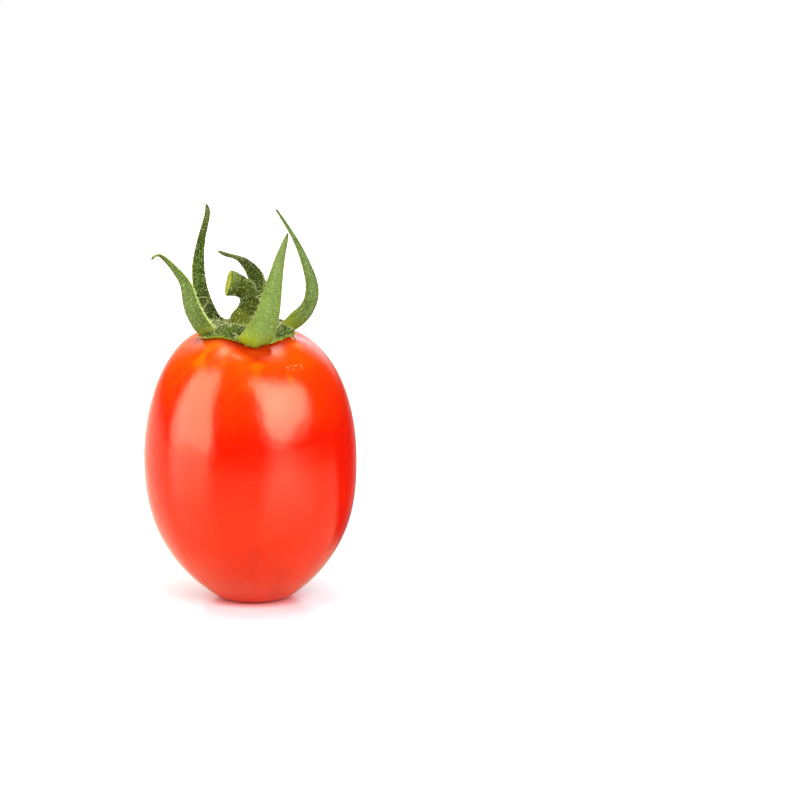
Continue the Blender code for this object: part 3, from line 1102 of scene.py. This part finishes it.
def studio_air():
    """White wherever the camera looks. Round the object, two soft windows, a bright wall and lamps above.

    Each light is bounded by its turn, in degrees from the front towards the right, and by its rise above
    the horizon.
    """
    world = bpy.data.worlds.new("studio_air")
    bpy.context.scene.world = world
    world.use_nodes = True
    tree = Tree(world.node_tree)
    background = world.node_tree.nodes["Background"]
    x, y, z = tree.parts(tree.node("ShaderNodeTexCoord").outputs["Generated"])
    turn = x.math("ARCTAN2", 0.0 - y) * degrees(1.0)
    rise = z.math("ARCSINE") * degrees(1.0)
    leftwards = 0.0 - turn

    left = turn.between(-99.0, -80.0) * (1.0 - (turn + rise * 0.14).between(-45.0, -32.0))
    left *= rise.between(-9.0, 7.0) * (1.0 - (rise - (turn + 60.0) * 0.3).between(40.0, 56.0))
    right = (turn + rise * 0.3).between(17.0, 33.0) * (1.0 - turn.between(66.0, 88.0))
    right *= (rise - (turn - 38.0).size() * 0.3).between(-3.0, 12.0)
    right *= 1.0 - (rise + turn.most(20.0) * 0.3).between(50.0, 66.0)
    core = ((turn - 35.0) / 18.0) ** 2.0 + ((rise - 30.0) / 14.0) ** 2.0
    right *= RIGHT_GLOW + (0.0 - core).math("EXPONENT") * RIGHT_CORE_GLOW
    behind = (turn.size() + rise * 0.5).between(145.0, 172.0) * (1.0 - rise.between(30.0, 60.0))
    low_right = turn.between(95.0, 110.0) * (1.0 - turn.between(165.0, 178.0))
    behind *= 1.0 - low_right * (1.0 - rise.between(0.0, 10.0))
    beside = leftwards.between(94.0, 116.0) * (1.0 - leftwards.between(135.0, 175.0))
    beside *= 1.0 - rise.between(0.0, 8.0)
    glow = AIR_GLOW + left * LEFT_GLOW + right + behind * BEHIND_GLOW + beside * BESIDE_GLOW
    for right_of, back_of, heading, length, width, strength in LAMPS:
        heading = radians(heading)
        lengthways = ((x - right_of) * cos(heading) + (y - back_of) * sin(heading)) / length
        sideways = ((y - back_of) * cos(heading) - (x - right_of) * sin(heading)) / width
        lamp = (0.0 - (lengthways * lengthways + sideways * sideways)).math("EXPONENT")
        glow += lamp * z.between(0.5, 0.7) * strength

    seen = tree.camera_ray()
    tree.feed(background.inputs["Strength"], glow * (1.0 - seen) + seen)
    tint = tree.vector(1.0, 0.98, 0.94 + turn.between(-20.0, 10.0) * 0.12)
    white = tree.vector(seen, seen, seen)
    colour = tree.node("ShaderNodeVectorMath", {"operation": "MAXIMUM"}, {0: tint, 1: white})
    tree.feed(background.inputs["Color"], colour.outputs[0])


def white_floor():
    """A wide white table that turns as bright as the air beyond the object.

    The light that it throws on the fruit is dimmer in front and on the right, dark red behind on the
    right, and brighter behind on the left. Places on it are in millimetres.
    """
    mesh = bpy.data.meshes.new("table_top")
    shape = bmesh.new()
    bmesh.ops.create_circle(shape, cap_ends=True, segments=64, radius=TABLE_RADIUS)
    shape.to_mesh(mesh)
    shape.free()
    table = bpy.data.objects.new("table_top", mesh)
    table.location.z = -TABLE_DROP * MM
    bpy.context.scene.collection.objects.link(table)
    paint = Finish("white_table")
    x, y, _ = paint.parts(paint.place)
    away = (x * x + y * y) ** 0.5 / MM
    turn = x.math("ARCTAN2", 0.0 - y) * degrees(1.0)
    leftwards = 0.0 - turn
    seen = paint.camera_ray()
    unseen = 1.0 - seen

    coloured = paint.mix(seen, TABLE_LIT, TABLE_WHITE)
    dimmed = away.between(80.0, 240.0) * turn.between(-100.0, -40.0) * (1.0 - turn.between(135.0, 175.0))
    coloured = paint.mix(unseen * dimmed, coloured, TABLE_DIM)
    reddened = turn.between(97.0, 108.0) * (1.0 - turn.between(158.0, 172.0)) * away.between(12.0, 30.0)
    coloured = paint.mix(unseen * reddened, coloured, TABLE_RED)
    # painted red glow and reflection of the fruit on the table, close round its foot
    painted_red_bounce = away.between(8.5, 4.6)
    coloured = paint.mix(painted_red_bounce * 0.8, coloured, TABLE_RED_BOUNCE)
    paint.set(Base_Color=coloured, Roughness=0.22, IOR=1.4)
    glow = away.between(6.0, 24.0) * TABLE_GLOW + away.between(30.0, 160.0) * FAR_GLOW
    bounced = leftwards.between(80.0, 112.0) * (1.0 - leftwards.between(135.0, 175.0)) * BOUNCED_GLOW
    paint.set(Emission_Color=(1.0, 1.0, 1.0, 1.0), Emission_Strength=seen * glow + unseen * bounced)
    paint.set(Specular_IOR_Level=0.5 - unseen * dimmed * 0.3)
    table.data.materials.append(paint.material)


def set_camera():
    """A long lens that looks down a little, with the fruit left of the middle."""
    camera = bpy.data.objects.new("camera", bpy.data.cameras.new("camera"))
    bpy.context.scene.collection.objects.link(camera)
    camera.data.lens = LENS
    camera.data.sensor_width = SENSOR
    camera.data.clip_start = NEAREST_SEEN
    look_down = radians(LOOK_DOWN)
    ahead = Vector((0.0, cos(look_down), -sin(look_down)))
    camera.location = (Vector(CAMERA_TARGET) - ahead * CAMERA_DISTANCE) * MM
    camera.rotation_euler = ahead.to_track_quat("-Z", "Y").to_euler()
    bpy.context.scene.camera = camera


# ------------------------------------------------------------------ the object


def dress(piece, node, material):
    """Give a piece its material, and let it stand for its solid."""
    piece.data.materials.clear()
    piece.data.materials.append(material)
    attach(piece, "root")
    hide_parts(node)


def make_object():
    skin, leaf, stem, hair = tomato_skin(), sepal_green(), stalk_green(), hair_white()
    fruit = make_fruit()
    stalk = make_stalk()
    collar = make_collar()
    sepals = {}
    for number, (name, sepal) in enumerate(SEPALS.items()):
        azimuth = FRONT_AZIMUTH + number * 360 / len(SEPALS)
        sepals[name] = make_sepal(name, azimuth, sepal["twist"], sepal["spine"], float(number))
    hairs = make_hairs(sepals, stalk, collar, hair)

    dress(fruit, "fruit", skin)
    dress(stalk, "stalk", stem)
    for name, piece in sepals.items():
        dress(piece, name, leaf)
    collar.data.materials.append(leaf)
    for piece in [collar, *hairs]:
        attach(piece, "root")


set_camera()
studio_air()
white_floor()
bpy.context.scene.view_settings.view_transform = "Standard"
make_object()
